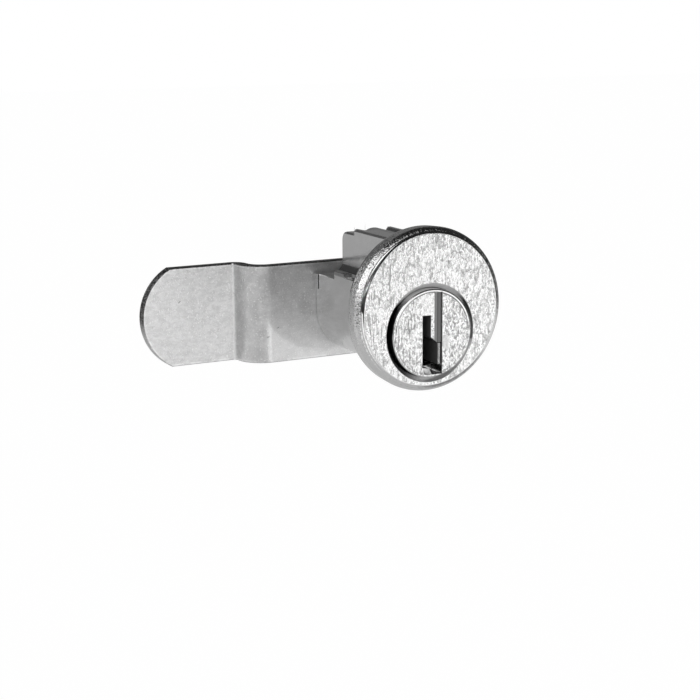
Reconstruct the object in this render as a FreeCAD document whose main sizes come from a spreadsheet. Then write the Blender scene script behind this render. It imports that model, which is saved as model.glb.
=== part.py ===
import FreeCAD, Part
import math
import os

import Sketcher

# Mailbox lock: round head, pin-tumbler plug set low in it, and a cranked cam behind the barrel.
# Millimetres. +Z up, +Y into the mailbox, origin on the plug's axis where the head meets the door.

PIN_STACKS = 5
SPRING_STEPS = 7
WIRE_SIDES = 6
TOLERANCE = 1e-4

# name: (value, meaning)
SIZES = {
    "head_diameter": ("23.6", "round head, across its front"),
    "head_thickness": ("3.0", "head, from the door to its face"),
    "head_rise": ("3.25", "head centre above the plug's axis"),
    "head_draft": ("0.2", "radius the head loses towards the door"),
    "rim_round": ("1.05", "rounding of the head's front edge"),
    "barrel_width": ("13.2", "barrel, side to side and round underneath"),
    "barrel_length": ("20.1", "barrel behind the head"),
    "deck_height": ("5.7", "flat top of the barrel above the axis"),
    "tower_width": ("10.4", "pin tower, side to side"),
    "tower_length": ("14.1", "pin tower behind the head"),
    "tower_height": ("12.5", "top of the pin tower above the axis"),
    "tower_round": ("1.2", "rounding of the tower's upper back edge"),
    "shoulder_height": ("6.9", "ledge beside the tower above the axis"),
    "clip_ledge_drop": ("0.65", "step cut into the ledge where a fixing clip slides"),
    "clip_ledge_width": ("0.7", "that step, in from the barrel's side"),
    "clip_ledge_length": ("10.9", "that step behind the head"),
    "flare_radius": ("1.3", "hollow rounding between tower and ledge"),
    "land_rise": ("0.65", "land left of the strip, above the tower's top"),
    "land_length": ("10.3", "that land behind the head"),
    "lip_rise": ("0.3", "lip along the land's left edge, above the land"),
    "lip_width": ("0.5", "level top of the lip"),
    "lip_slope": ("1.3", "slope from the lip down to the land, across"),
    "rail_inset": ("1.7", "rail right of the strip, its left side from the axis"),
    "rail_width": ("0.6", "that rail, side to side"),
    "rail_rise": ("0.55", "that rail above the tower's top"),
    "rail_setback": ("0.7", "rail's back end ahead of the tower's"),
    "rail_slope": ("0.5", "slope cut on the rail's back end"),
    "plug_face_diameter": ("12.7", "plug, at its face"),
    "plug_proud": ("0.5", "plug's face in front of the head's"),
    "plug_edge_bevel": ("0.42", "bevel round the plug's face"),
    "flange_depth": ("2.5", "seat for the plug's face in the head"),
    "mouth_bevel": ("0.65", "bevel round the mouth of that seat"),
    "plug_diameter": ("10.4", "plug, inside the barrel"),
    "running_gap": ("0.05", "plug to barrel, all round and endways"),
    "keyway_length": ("17.1", "keyway, from the plug's face"),
    "keyway_top": ("2.6", "top of the keyway above the axis"),
    "keyway_left": ("1.55", "left wall of the keyway from the axis"),
    "keyway_neck": ("0.22", "right wall of the upper slot, left of the axis"),
    "keyway_jog_top": ("0.55", "start of the slanting jog below the axis"),
    "keyway_jog_drop": ("0.9", "height of the slanting jog"),
    "keyway_belly": ("0.75", "right wall of the lower slot from the axis"),
    "keyway_right": ("1.62", "right wall of the narrow slot from the axis"),
    "ward_width": ("0.5", "standing ward between the lower slots"),
    "ward_foot": ("4.5", "foot of the ward below the axis"),
    "keyway_floor": ("5.9", "bottom of the keyway below the axis"),
    "keyway_slant": ("0.8", "slant cut across the keyway's lower left corner"),
    "groove_left": ("0.36", "left side of the shallow face groove"),
    "groove_depth": ("0.45", "depth of the shallow face groove"),
    "pin_diameter": ("2.0", "key pins and driver pins"),
    "pin_gap": ("0.05", "pin to chamber, all round"),
    "pin_pitch": ("2.55", "pin spacing along the plug"),
    "first_pin": ("2.0", "first pin behind the door side of the head"),
    "pin_tip_flat": ("0.35", "radius of the flat at a key pin's tip"),
    "chamber_floor": ("1.0", "bottom of the plug's pin chambers above the axis"),
    "key_pin_length_one": ("2.5", "first key pin"),
    "key_pin_length_two": ("3.0", "second key pin"),
    "key_pin_length_three": ("2.3", "third key pin"),
    "key_pin_length_four": ("3.2", "fourth key pin"),
    "key_pin_length_five": ("2.7", "fifth key pin"),
    "driver_length": ("3.0", "driver pins"),
    "cover_width": ("2.8", "strip that closes the pin chambers"),
    "cover_depth": ("0.8", "strip sunk below the tower's top"),
    "cover_side": ("0.02", "strip to its slot"),
    "cover_crown": ("0.4", "strip's rounded top above the tower"),
    "cover_start": ("0.6", "front end of the strip behind the door side"),
    "spring_diameter": ("1.7", "pin springs, outside"),
    "spring_wire": ("0.28", "pin springs, wire"),
    "spring_end_gap": ("0.03", "spring end to what it bears on"),
    "spring_turns": ("4", "turns of a pin spring"),
    "stop_depth": ("0.85", "room for the stop washer in the barrel's back end"),
    "stop_thickness": ("0.5", "stop washer"),
    "stop_diameter": ("11.0", "stop washer, its round part"),
    "stop_side": ("0.1", "stop washer to the barrel, all round"),
    "lug_foot": ("3.4", "lower side of the stop washer's lug above the axis"),
    "lug_top": ("5.5", "upper side of that lug above the axis"),
    "lug_reach": ("6.6", "end of that lug to the left of the axis"),
    "stop_gap": ("0.03", "lug to the end of its window"),
    "tail_square": ("6.0", "square tail of the plug"),
    "tail_fit": ("0.05", "square tail to its holes, each side"),
    "tail_short": ("0.1", "tail's end below the cam's back"),
    "cam_width": ("14.8", "cam, side to side"),
    "cam_thickness": ("1.6", "cam sheet"),
    "cam_crank": ("4.6", "step of the cam away from the door"),
    "cam_reach": ("32.7", "cam tip from the axis"),
    "cam_tip_radius": ("8.4", "rounding of the cam tip"),
    "crank_near": ("17.3", "start of the crank from the axis"),
    "crank_far": ("18.05", "end of the crank from the axis"),
    "crank_soft_bend": ("0.9", "inside radius of the soft bend"),
    "crank_tight_bend": ("0.5", "inside radius of the tight bend"),
    "washer_diameter": ("7.8", "toothed lock washer, outside"),
    "washer_hole": ("4.3", "toothed lock washer, hole"),
    "washer_thickness": ("0.6", "toothed lock washer"),
    "washer_rim": ("0.7", "lock washer's plain outer rim"),
    "washer_teeth": ("8", "teeth of the lock washer"),
    "tooth_gap": ("0.45", "slot between two teeth"),
    "screw_diameter": ("4.0", "cam screw"),
    "screw_fit": ("0.03", "cam screw to its hole, all round and at its end"),
    "screw_length": ("7.2", "cam screw under its head"),
    "screw_head_diameter": ("7.0", "cam screw's head"),
    "screw_head_height": ("2.2", "cam screw's head"),
    "screw_head_bevel": ("0.9", "bevel round the screw's head"),
    "recess_width": ("1.0", "arm of the cross recess"),
    "recess_span": ("4.0", "cross recess, end to end"),
    "recess_depth": ("1.4", "cross recess"),
}

# name: formula on the names above
PLACES = {
    "head_radius": "head_diameter / 2",
    "head_back_radius": "head_radius - head_draft",
    "barrel_half": "barrel_width / 2",
    "tower_half": "tower_width / 2",
    "clip_ledge_top": "shoulder_height - clip_ledge_drop",
    "clip_ledge_inner": "barrel_half - clip_ledge_width",
    "flare_top": "shoulder_height + flare_radius",
    "land_top": "tower_height + land_rise",
    "lip_top": "land_top + lip_rise",
    "lip_inner": "tower_half - lip_width",
    "lip_foot": "lip_inner - lip_slope",
    "rail_outer": "rail_inset + rail_width",
    "rail_top": "tower_height + rail_rise",
    "rail_back": "tower_length - rail_setback",
    "plug_face_radius": "plug_face_diameter / 2",
    "plug_radius": "plug_diameter / 2",
    "bore_radius": "plug_radius + running_gap",
    "seat_radius": "plug_face_radius + running_gap",
    "mouth_radius": "seat_radius + mouth_bevel",
    "plug_front": "head_thickness + plug_proud",
    "seat_floor": "head_thickness - flange_depth",
    "flange_back": "seat_floor + running_gap",
    "ward_right": "keyway_belly + ward_width",
    "jog_foot": "keyway_jog_top + keyway_jog_drop",
    "slant_foot": "keyway_floor - keyway_slant",
    "groove_right": "keyway_right",
    "pin_radius": "pin_diameter / 2",
    "chamber_radius": "pin_radius + pin_gap",
    "key_pin_top": "plug_radius - running_gap",
    "driver_foot": "bore_radius",
    "driver_top": "driver_foot + driver_length",
    "cover_half": "cover_width / 2",
    "cover_foot": "tower_height - cover_depth",
    "cover_slot_half": "cover_half + cover_side",
    "cover_slot_start": "cover_start - cover_side",
    "cover_crown_radius": "(cover_half * cover_half + cover_crown * cover_crown) / (2 * cover_crown)",
    "spring_foot": "driver_top + spring_end_gap + spring_wire / 2",
    "spring_rise": "cover_foot - driver_top - 2 * spring_end_gap - spring_wire",
    "spring_mean_radius": "(spring_diameter - spring_wire) / 2",
    "spring_pitch": "spring_rise / spring_turns",
    "stop_floor": "barrel_length - stop_depth",
    "stop_seat_radius": "stop_diameter / 2 + stop_side",
    "window_foot": "lug_foot - stop_gap",
    "window_side": "lug_top + stop_gap",
    "window_reach": "barrel_width",
    "cam_front": "barrel_length + running_gap",
    "plug_back": "cam_front - stop_thickness",
    "cam_back": "cam_front + cam_thickness",
    "tail_half": "tail_square / 2",
    "tail_hole_half": "tail_half + tail_fit",
    "tail_end": "cam_back - tail_short",
    "tip_front": "cam_front + cam_crank",
    "tip_back": "tip_front + cam_thickness",
    "cam_half": "cam_width / 2",
    "tip_centre": "cam_reach - cam_tip_radius",
    "crank_near_back": "crank_near - cam_thickness",
    "crank_far_back": "crank_far - cam_thickness",
    "soft_outside": "crank_soft_bend + cam_thickness",
    "tight_outside": "crank_tight_bend + cam_thickness",
    "blank_end": "cam_reach + cam_thickness",
    "blank_half": "cam_half + cam_thickness",
    "washer_radius": "washer_diameter / 2",
    "washer_hole_radius": "washer_hole / 2",
    "tooth_root": "washer_radius - washer_rim",
    "tooth_gap_half": "tooth_gap / 2",
    "washer_back": "cam_back + washer_thickness",
    "screw_radius": "screw_diameter / 2",
    "screw_hole_radius": "screw_radius + screw_fit",
    "screw_head_radius": "screw_head_diameter / 2",
    "screw_top": "washer_back + screw_head_height",
    "screw_point": "washer_back - screw_length",
    "screw_hole_end": "screw_point - screw_fit",
    "recess_arm": "recess_width / 2",
    "recess_half": "recess_span / 2",
}

doc = FreeCAD.newDocument("MailboxLock")
sheet = doc.addObject("Spreadsheet::Sheet", "Sizes")


def fill_sheet():
    for row, (name, (number, meaning)) in enumerate(SIZES.items(), start=1):
        sheet.set(f"A{row}", meaning)
        sheet.set(f"B{row}", number)
        sheet.setAlias(f"B{row}", name)
    for row, (name, formula) in enumerate(PLACES.items(), start=1):
        sheet.set(f"D{row}", name.replace("_", " "))
        sheet.set(f"E{row}", "=" + formula)
        sheet.setAlias(f"E{row}", name)
    doc.recompute()


def value(sum_of_names):
    """The number that a sum such as 'cam_back - tail_short' has now."""
    total = 0.0
    sign = 1
    for word in sum_of_names.replace("-", " - ").split():
        if word in ("+", "-"):
            sign = 1 if word == "+" else -1
            continue
        total += sign * (0.0 if word == "0" else float(sheet.get(word)))
        sign = 1
    return total


def bound(sum_of_names):
    """The same sum as an expression on the sheet."""
    words = sum_of_names.replace("-", " - ").split()
    return " ".join(w if w in ("+", "-", "0") else "Sizes." + w for w in words)


def plane_of(body, role):
    return next(f for f in body.Origin.OriginFeatures if f.Role == role)


def new_body(label):
    body = doc.addObject("PartDesign::Body", label)
    body.Label = label
    return body


class Outline:
    """A sketch on one of its body's origin planes, with every corner bound to the sheet."""

    def __init__(self, body, name, plane="XZ_Plane", at="0", shift_up=None):
        self.body = body
        self.sketch = body.newObject("Sketcher::SketchObject", name)
        self.sketch.AttachmentSupport = (plane_of(body, plane), [""])
        self.sketch.MapMode = "FlatFace"
        # the XZ plane's normal points to -Y, so a place along +Y is a negative offset
        flip = "-" if plane == "XZ_Plane" else ""
        self.sketch.setExpression(".AttachmentOffset.Base.z", f"{flip}({bound(at)})")
        if shift_up:
            self.sketch.setExpression(".AttachmentOffset.Base.y", bound(shift_up))

    def fix(self, edge, end, axis, sum_of_names):
        kind = "DistanceX" if axis == 0 else "DistanceY"
        amount = value(sum_of_names)
        row = self.sketch.addConstraint(Sketcher.Constraint(kind, -1, 1, edge, end, amount))
        self.sketch.setExpression(f"Constraints[{row}]", bound(sum_of_names))

    def fix_radius(self, edge, sum_of_names):
        row = self.sketch.addConstraint(Sketcher.Constraint("Radius", edge, value(sum_of_names)))
        self.sketch.setExpression(f"Constraints[{row}]", bound(sum_of_names))

    def circle(self, radius, x="0", y="0"):
        centre = FreeCAD.Vector(value(x), value(y), 0)
        edge = self.sketch.addGeometry(Part.Circle(centre, FreeCAD.Vector(0, 0, 1), value(radius)))
        self.fix(edge, 3, 0, x)
        self.fix(edge, 3, 1, y)
        self.fix_radius(edge, radius)
        return self

    def polygon(self, *corners):
        points = [FreeCAD.Vector(value(x), value(y), 0) for x, y in corners]
        first = self.sketch.GeometryCount
        for start, end in zip(points, points[1:] + points[:1]):
            self.sketch.addGeometry(Part.LineSegment(start, end))
        for step, (x, y) in enumerate(corners):
            after = first + step
            before = first + (step - 1) % len(corners)
            self.sketch.addConstraint(Sketcher.Constraint("Coincident", before, 2, after, 1))
            self.fix(after, 1, 0, x)
            self.fix(after, 1, 1, y)
        return self

    def rectangle(self, left, bottom, right, top):
        return self.polygon((left, bottom), (right, bottom), (right, top), (left, top))

    def pad(self, length):
        """Adds material towards +Y, or +Z from the XY plane."""
        feature = self.body.newObject("PartDesign::Pad", self.sketch.Name + "Pad")
        feature.Profile = self.sketch
        feature.setExpression("Length", bound(length))
        feature.Reversed = "XZ" in self.sketch.AttachmentSupport[0][0].Role
        return self.done(feature)

    def pad_both_ways(self, half_length):
        feature = self.body.newObject("PartDesign::Pad", self.sketch.Name + "Pad")
        feature.Profile = self.sketch
        feature.setExpression("Length", f"2 * ({bound(half_length)})")
        feature.Midplane = True
        return self.done(feature)

    def cut(self, depth):
        """Removes material towards +Y, or -Z from the XY plane."""
        before = self.body.Tip.Shape.Volume
        feature = self.body.newObject("PartDesign::Pocket", self.sketch.Name + "Cut")
        feature.Profile = self.sketch
        feature.setExpression("Length", bound(depth))
        self.done(feature)
        if feature.Shape.Volume > before - TOLERANCE:
            raise RuntimeError(f"{feature.Name} removed nothing")
        return feature

    def spin(self, cut=False):
        kind = "PartDesign::Groove" if cut else "PartDesign::Revolution"
        feature = self.body.newObject(kind, self.sketch.Name + "Turned")
        feature.Profile = self.sketch
        feature.ReferenceAxis = (self.sketch, ["H_Axis"])
        feature.Angle = 360
        return self.done(feature)

    def done(self, feature):
        self.sketch.Visibility = False
        self.body.Tip = feature
        doc.recompute()
        return feature


def edges_where(feature, test):
    """Names of a feature's edges whose middle point passes the test."""
    found = []
    for number, edge in enumerate(feature.Shape.Edges, start=1):
        middle = edge.valueAt((edge.FirstParameter + edge.LastParameter) / 2)
        if test(middle):
            found.append(f"Edge{number}")
    if not found:
        raise RuntimeError(f"no edge of {feature.Name} fits")
    return found


def near(one, other):
    return abs(one - other) < TOLERANCE


def round_edges(body, feature, name, radius, test, kind="PartDesign::Fillet", size="Radius"):
    rounding = body.newObject(kind, name)
    rounding.Base = (feature, edges_where(feature, test))
    rounding.setExpression(size, bound(radius))
    body.Tip = rounding
    doc.recompute()
    return rounding


def bevel_edges(body, feature, name, size, test):
    return round_edges(body, feature, name, size, test, "PartDesign::Chamfer", "Size")


def repeat_along_y(body, feature, name):
    """One copy for each pin stack, a pin pitch apart."""
    row = body.newObject("PartDesign::LinearPattern", name)
    row.Originals = [feature]
    row.Direction = (plane_of(body, "Y_Axis"), [""])
    row.setExpression("Length", f"Sizes.pin_pitch * {PIN_STACKS - 1}")
    row.Occurrences = PIN_STACKS
    body.Tip = row
    doc.recompute()
    return row


def lock_housing():
    body = new_body("lock_housing")
    head = Outline(body, "Head", "YZ_Plane", shift_up="head_rise")
    head.polygon(("0", "0"), ("0", "head_back_radius"), ("-head_thickness", "head_radius"),
                 ("-head_thickness", "0"))
    disc = head.spin()
    front = -value("head_thickness")
    disc = round_edges(body, disc, "HeadRim", "rim_round", lambda middle: near(middle.y, front))

    Outline(body, "Barrel").circle("barrel_half").pad("barrel_length")
    Outline(body, "Deck").rectangle("-barrel_half", "0", "barrel_half", "deck_height").pad("barrel_length")
    ledge_block = Outline(body, "Ledge").rectangle("-barrel_half", "0", "barrel_half", "shoulder_height")
    ledge_block.pad("tower_length")
    tower = Outline(body, "Tower").rectangle("-tower_half", "0", "tower_half", "tower_height")
    block = tower.pad("tower_length")

    half, ledge = value("tower_half"), value("shoulder_height")
    flare = round_edges(body, block, "Flare", "flare_radius",
                        lambda middle: near(abs(middle.x), half) and near(middle.z, ledge))
    top, back = value("tower_height"), value("tower_length")
    round_edges(body, flare, "TowerBack", "tower_round",
                lambda middle: near(middle.z, top) and near(middle.y, back))

    for side, left, right in (("Left", "-barrel_half", "-clip_ledge_inner"),
                              ("Right", "clip_ledge_inner", "barrel_half")):
        step = Outline(body, f"ClipLedge{side}")
        step.rectangle(left, "clip_ledge_top", right, "flare_top").cut("clip_ledge_length")

    land = Outline(body, "Land")
    land.polygon(
        ("-tower_half", "cover_foot"), ("-tower_half", "lip_top"), ("-lip_inner", "lip_top"),
        ("-lip_foot", "land_top"), ("-cover_slot_half", "land_top"), ("-cover_slot_half", "cover_foot"))
    land.pad("land_length")
    fin = Outline(body, "Rail").rectangle("rail_inset", "cover_foot", "rail_outer", "rail_top")
    rail = fin.pad("rail_back")
    rail_top, rail_back = value("rail_top"), value("rail_back")
    bevel_edges(body, rail, "RailSlope", "rail_slope",
                lambda middle: near(middle.z, rail_top) and near(middle.y, rail_back))

    # the plug's bore, the seat for its face and the bevel round that seat
    Outline(body, "Bore", at="-head_thickness").circle("bore_radius").cut("head_thickness + barrel_length")
    Outline(body, "Seat", at="-head_thickness").circle("seat_radius").cut("flange_depth")
    mouth = Outline(body, "Mouth", "YZ_Plane")
    mouth.polygon(("-head_thickness", "0"), ("-head_thickness", "mouth_radius"),
                  ("mouth_bevel - head_thickness", "seat_radius"), ("mouth_bevel - head_thickness", "0"))
    mouth.spin(cut=True)

    # pin chambers and the slot for the strip that closes them
    chamber = Outline(body, "Chamber", "XY_Plane", at="tower_height").circle("chamber_radius", y="first_pin")
    repeat_along_y(body, chamber.cut("tower_height"), "Chambers")
    slot = Outline(body, "CoverSlot", at="cover_slot_start")
    slot.rectangle("-cover_slot_half", "cover_foot", "cover_slot_half", "lip_top")
    slot.cut("tower_length")
    crown(body, "CrownEnd", "0").pad("cover_slot_start")

    # the stop washer's seat, and the window whose foot and right side stop its lug
    Outline(body, "StopSeat", at="stop_floor").circle("stop_seat_radius").cut("stop_depth")
    window = Outline(body, "LugWindow", at="stop_floor")
    window.polygon(("-window_reach", "window_foot"), ("0", "window_foot"), ("0", "0"), ("window_side", "0"),
                   ("window_side", "window_reach"), ("-window_reach", "window_reach"))
    window.cut("stop_depth")
    return body


def crown(body, name, at):
    """Outline of the low arch that stands on the tower's top, as wide as the strip."""
    arch = Outline(body, name, at=at)
    sketch = arch.sketch
    left = FreeCAD.Vector(-value("cover_half"), value("tower_height"), 0)
    right = FreeCAD.Vector(value("cover_half"), value("tower_height"), 0)
    peak = FreeCAD.Vector(0, value("tower_height + cover_crown"), 0)
    sketch.addGeometry(Part.LineSegment(left, right))
    sketch.addGeometry(Part.Arc(right, peak, left))
    sketch.addConstraint(Sketcher.Constraint("Coincident", 0, 2, 1, 1))
    sketch.addConstraint(Sketcher.Constraint("Coincident", 0, 1, 1, 2))
    arch.fix(0, 1, 0, "-cover_half")
    arch.fix(0, 1, 1, "tower_height")
    arch.fix(0, 2, 0, "cover_half")
    arch.fix(0, 2, 1, "tower_height")
    arch.fix_radius(1, "cover_crown_radius")
    return arch


def chamber_cover():
    """Strip with a low crown that closes the five pin chambers."""
    body = new_body("chamber_cover")
    strip = Outline(body, "Strip", at="cover_start")
    strip.rectangle("-cover_half", "cover_foot", "cover_half", "tower_height")
    strip.pad("tower_length - cover_start")
    crown(body, "Crown", "cover_start").pad("tower_length - cover_start")
    return body


def key_plug():
    body = new_body("key_plug")
    profile = Outline(body, "Plug", "YZ_Plane")
    profile.polygon(("-plug_front", "0"), ("-plug_front", "plug_face_radius"),
                    ("-flange_back", "plug_face_radius"), ("-flange_back", "plug_radius"),
                    ("plug_back", "plug_radius"), ("plug_back", "0"))
    turned = profile.spin()
    front = -value("plug_front")
    bevel_edges(body, turned, "FaceBevel", "plug_edge_bevel",
                lambda middle: near(middle.y, front))
    tail = Outline(body, "Tail", at="plug_back")
    tail.rectangle("-tail_half", "-tail_half", "tail_half", "tail_half").pad("tail_end - plug_back")
    screw_hole = Outline(body, "ScrewHole", at="screw_hole_end").circle("screw_hole_radius")
    screw_hole.cut("tail_end - screw_hole_end")

    keyway = Outline(body, "Keyway", at="-plug_front")
    keyway.polygon(
        ("-keyway_left", "keyway_top"), ("-keyway_neck", "keyway_top"), ("-keyway_neck", "-keyway_jog_top"),
        ("keyway_belly", "-jog_foot"), ("keyway_belly", "-ward_foot"), ("ward_right", "-ward_foot"),
        ("ward_right", "-jog_foot"), ("keyway_right", "-jog_foot"), ("keyway_right", "-keyway_floor"),
        ("keyway_slant - keyway_left", "-keyway_floor"), ("-keyway_left", "-slant_foot"))
    keyway.cut("keyway_length")
    groove = Outline(body, "FaceGroove", at="-plug_front")
    groove.rectangle("groove_left", "-jog_foot", "groove_right", "plug_face_radius")
    groove.cut("groove_depth")

    chamber = Outline(body, "Chamber", "XY_Plane", at="plug_radius").circle("chamber_radius", y="first_pin")
    repeat_along_y(body, chamber.cut("plug_radius - chamber_floor"), "Chambers")
    return body


def turned_pin(label, *profile):
    """A pin turned about its own upright axis. The profile's corners are (height, radius)."""
    body = new_body(label)
    outline = Outline(body, "Profile", "YZ_Plane")
    sketch = outline.sketch
    outline.polygon(*[(radius, height) for height, radius in profile])
    feature = body.newObject("PartDesign::Revolution", "Turned")
    feature.Profile = sketch
    feature.ReferenceAxis = (sketch, ["V_Axis"])
    feature.Angle = 360
    outline.done(feature)
    return body


def stand_at_stack(body, number):
    body.setExpression(".Placement.Base.y", f"Sizes.first_pin + Sizes.pin_pitch * {number}")


def key_pins():
    names = ("one", "two", "three", "four", "five")
    for number, name in enumerate(names):
        tip = f"key_pin_top - key_pin_length_{name}"
        body = turned_pin(
            f"key_pin_{number + 1}",
            (tip, "0"), (tip, "pin_tip_flat"), (f"{tip} + pin_radius - pin_tip_flat", "pin_radius"),
            ("key_pin_top", "pin_radius"), ("key_pin_top", "0"))
        stand_at_stack(body, number)


def driver_pins():
    for number in range(PIN_STACKS):
        body = turned_pin(
            f"driver_pin_{number + 1}",
            ("driver_foot", "0"), ("driver_foot", "pin_radius"), ("driver_top", "pin_radius"),
            ("driver_top", "0"))
        stand_at_stack(body, number)


def wire_section(turn):
    """The spring wire's outline, that many turns up the coil."""
    around = 2 * math.pi * turn
    outward = FreeCAD.Vector(math.cos(around), math.sin(around), 0)
    middle = outward * value("spring_mean_radius") + FreeCAD.Vector(0, 0, turn * value("spring_pitch"))
    corners = []
    for side in range(WIRE_SIDES):
        angle = 2 * math.pi * side / WIRE_SIDES
        reach = value("spring_wire") / 2
        corners.append(middle + outward * reach * math.cos(angle)
                       + FreeCAD.Vector(0, 0, reach * math.sin(angle)))
    return Part.makePolygon(corners + corners[:1])


def pin_springs():
    """Coils in short straight stretches between sections of the wire."""
    steps = round(value("spring_turns") * SPRING_STEPS)
    sections = [wire_section(step / SPRING_STEPS) for step in range(steps + 1)]
    coil = Part.makeLoft(sections, True, True)
    for number in range(PIN_STACKS):
        spring = doc.addObject("Part::Feature", f"pin_spring_{number + 1}")
        spring.Label = f"pin_spring_{number + 1}"
        spring.Shape = coil
        stand_at_stack(spring, number)
        spring.setExpression(".Placement.Base.z", "Sizes.spring_foot")
    doc.recompute()
    print(f"spring turns lie {value('spring_pitch') - value('spring_wire'):.2f} mm apart")


def square_hole(body, name, at, depth):
    hole = Outline(body, name, at=at)
    hole.rectangle("-tail_hole_half", "-tail_hole_half", "tail_hole_half", "tail_hole_half")
    return hole.cut(depth)


def stop_washer():
    """Washer on the plug's square tail. Its lug meets the ends of the barrel's window."""
    body = new_body("stop_washer")
    Outline(body, "Disc", at="plug_back").circle("stop_seat_radius - stop_side").pad("stop_thickness")
    lug = Outline(body, "Lug", at="plug_back")
    lug.rectangle("-lug_reach", "lug_foot", "0", "lug_top").pad("stop_thickness")
    square_hole(body, "TailHole", "plug_back", "stop_thickness")
    return body


def cam():
    """Sheet cam, cranked away from the door and rounded at its tip and round the plug."""
    body = new_body("cam")
    strip = Outline(body, "Strip", "XY_Plane")
    strip.polygon(
        ("blank_half", "cam_front"), ("-crank_near", "cam_front"), ("-crank_far", "tip_front"),
        ("-blank_end", "tip_front"), ("-blank_end", "tip_back"), ("-crank_far_back", "tip_back"),
        ("-crank_near_back", "cam_back"), ("blank_half", "cam_back"))
    bent = strip.pad_both_ways("blank_half")

    def bend(name, feature, radius, x, y):
        return round_edges(body, feature, name, radius,
                           lambda middle: near(middle.x, -value(x)) and near(middle.y, value(y)))

    bent = bend("SoftOutside", bent, "soft_outside", "crank_near", "cam_front")
    bent = bend("SoftInside", bent, "crank_soft_bend", "crank_near_back", "cam_back")
    bent = bend("TightInside", bent, "crank_tight_bend", "crank_far", "tip_front")
    bend("TightOutside", bent, "tight_outside", "crank_far_back", "tip_back")

    # what is left of the strip inside this outline is the cam
    blank = Outline(body, "Trim", at="cam_front")
    blank.rectangle("-blank_end - cam_thickness", "-blank_half - cam_thickness",
                    "blank_half + cam_thickness", "blank_half + cam_thickness")
    sketch = blank.sketch
    half, centre, radius = value("cam_half"), -value("tip_centre"), value("cam_tip_radius")
    corner = centre - math.sqrt(radius ** 2 - half ** 2)
    up, down = FreeCAD.Vector(0, half, 0), FreeCAD.Vector(0, -half, 0)
    tip_up, tip_down = FreeCAD.Vector(corner, half, 0), FreeCAD.Vector(corner, -half, 0)
    hub = sketch.addGeometry(Part.Arc(down, FreeCAD.Vector(half, 0, 0), up))
    top = sketch.addGeometry(Part.LineSegment(up, tip_up))
    tip = sketch.addGeometry(Part.Arc(tip_up, FreeCAD.Vector(centre - radius, 0, 0), tip_down))
    foot = sketch.addGeometry(Part.LineSegment(tip_down, down))
    for before, after in ((hub, top), (top, tip), (tip, foot), (foot, hub)):
        sketch.addConstraint(Sketcher.Constraint("Coincident", before, 2, after, 1))
    sketch.addConstraint(Sketcher.Constraint("Coincident", hub, 3, -1, 1))
    blank.fix(hub, 1, 0, "0")
    blank.fix(hub, 1, 1, "-cam_half")
    blank.fix(top, 1, 0, "0")
    blank.fix(tip, 1, 1, "cam_half")
    blank.fix(foot, 1, 1, "-cam_half")
    blank.fix(tip, 3, 0, "-tip_centre")
    blank.fix(tip, 3, 1, "0")
    blank.fix_radius(tip, "cam_tip_radius")
    blank.cut("tip_back - cam_front")
    square_hole(body, "TailHole", "cam_front", "cam_thickness")
    return body


def lock_washer():
    """Toothed washer: a plain rim with teeth that point inwards."""
    body = new_body("lock_washer")
    ring = Outline(body, "Ring", at="cam_back").circle("washer_radius").circle("washer_hole_radius")
    ring.pad("washer_thickness")
    gap = Outline(body, "ToothGap", at="cam_back")
    gap.rectangle("0", "-tooth_gap_half", "tooth_root", "tooth_gap_half")
    slot = gap.cut("washer_thickness")
    teeth = body.newObject("PartDesign::PolarPattern", "Teeth")
    teeth.Originals = [slot]
    teeth.Axis = (plane_of(body, "Y_Axis"), [""])
    teeth.Angle = 360
    teeth.Occurrences = int(value("washer_teeth"))
    body.Tip = teeth
    doc.recompute()
    return body


def cam_screw():
    """Pan-head screw with a cross recess. Its thread isn't modelled."""
    body = new_body("cam_screw")
    profile = Outline(body, "Screw", "YZ_Plane")
    profile.polygon(
        ("screw_point", "0"), ("screw_point", "screw_radius"), ("washer_back", "screw_radius"),
        ("washer_back", "screw_head_radius"), ("screw_top", "screw_head_radius"), ("screw_top", "0"))
    turned = profile.spin()
    top = value("screw_top")
    bevel_edges(body, turned, "HeadBevel", "screw_head_bevel", lambda middle: near(middle.y, top))
    floor = "screw_top - recess_depth"
    across = Outline(body, "RecessAcross", at=floor)
    across.rectangle("-recess_half", "-recess_arm", "recess_half", "recess_arm").cut("recess_depth")
    upright = Outline(body, "RecessUpright", at=floor)
    upright.rectangle("-recess_arm", "-recess_half", "recess_arm", "recess_half").cut("recess_depth")
    return body


def check_document():
    for item in doc.Objects:
        if "Invalid" in item.State or "Error" in item.State:
            raise RuntimeError(f"{item.Label} failed: {item.State}")
    nodes = [o for o in doc.Objects if o.TypeId in ("PartDesign::Body", "Part::Feature")]
    for node in nodes:
        if node.Shape.isNull() or not node.Shape.isValid() or len(node.Shape.Solids) != 1:
            raise RuntimeError(f"{node.Label} isn't one valid solid")
    return nodes


fill_sheet()
lock_housing()
chamber_cover()
key_plug()
key_pins()
driver_pins()
pin_springs()
stop_washer()
cam()
lock_washer()
cam_screw()
doc.recompute()

os.makedirs("parts", exist_ok=True)
for node in check_document():
    node.Shape.exportStep(f"parts/{node.Label}.step")
    box = node.Shape.BoundBox
    print(f"{node.Label:16s} {node.Shape.Volume:9.3f} mm3  x {box.XMin:.2f} {box.XMax:.2f}"
          f"  y {box.YMin:.2f} {box.YMax:.2f}  z {box.ZMin:.2f} {box.ZMax:.2f}")
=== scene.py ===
import math

import bmesh
import bpy
from mathutils import Matrix, Vector


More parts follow.
